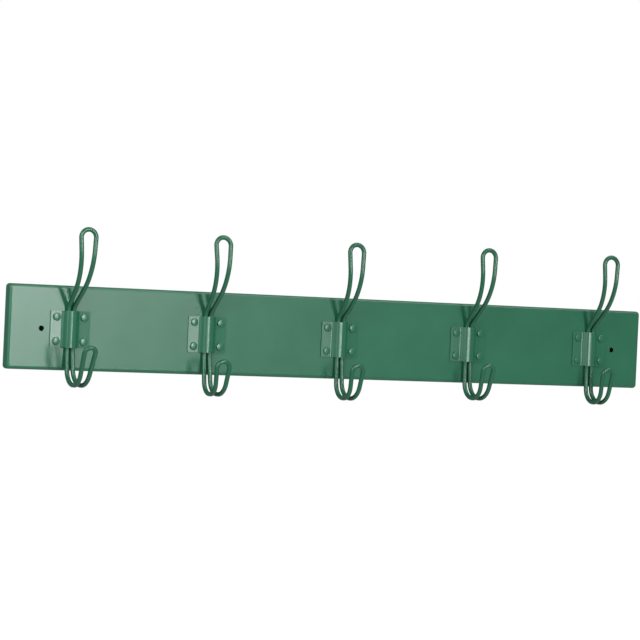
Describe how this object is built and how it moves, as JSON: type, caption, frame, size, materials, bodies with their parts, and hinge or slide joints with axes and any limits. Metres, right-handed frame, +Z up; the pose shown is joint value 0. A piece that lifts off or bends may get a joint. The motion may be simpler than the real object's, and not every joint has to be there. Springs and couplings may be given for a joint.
{
  "type": "coat rack",
  "caption": "Wall-mounted coat rack: a long folded steel backplate with five double wire hooks, each clamped by a pressed saddle and four rivets.",
  "frame": {"origin": "midway between the two mounting holes, on the backplate's front face, where the screw heads bear", "axes": "+X along the rack to the right as seen from the room, +Z up, -Y from the plate's face into the room"},
  "size_m": [0.8, 0.0697, 0.1765],
  "materials": {
    "plate_paint": "semi-gloss green paint over folded sheet steel",
    "wire_paint": "semi-gloss green paint over bent steel wire",
    "saddle_paint": "semi-gloss green paint over pressed sheet steel",
    "rivet_paint": "semi-gloss green paint over steel rivet heads"
  },
  "bodies": {
    "root": {"backplate": "plate_paint", "hook_wire_1": "wire_paint", "hook_bracket_1": "saddle_paint", "rivet_1_upper_left": "rivet_paint", "rivet_1_upper_right": "rivet_paint", "rivet_1_lower_left": "rivet_paint", "rivet_1_lower_right": "rivet_paint", "hook_wire_2": "wire_paint", "hook_bracket_2": "saddle_paint", "rivet_2_upper_left": "rivet_paint", "rivet_2_upper_right": "rivet_paint", "rivet_2_lower_left": "rivet_paint", "rivet_2_lower_right": "rivet_paint", "hook_wire_3": "wire_paint", "hook_bracket_3": "saddle_paint", "rivet_3_upper_left": "rivet_paint", "rivet_3_upper_right": "rivet_paint", "rivet_3_lower_left": "rivet_paint", "rivet_3_lower_right": "rivet_paint", "hook_wire_4": "wire_paint", "hook_bracket_4": "saddle_paint", "rivet_4_upper_left": "rivet_paint", "rivet_4_upper_right": "rivet_paint", "rivet_4_lower_left": "rivet_paint", "rivet_4_lower_right": "rivet_paint", "hook_wire_5": "wire_paint", "hook_bracket_5": "saddle_paint", "rivet_5_upper_left": "rivet_paint", "rivet_5_upper_right": "rivet_paint", "rivet_5_lower_left": "rivet_paint", "rivet_5_lower_right": "rivet_paint"}
  },
  "joints": []
}
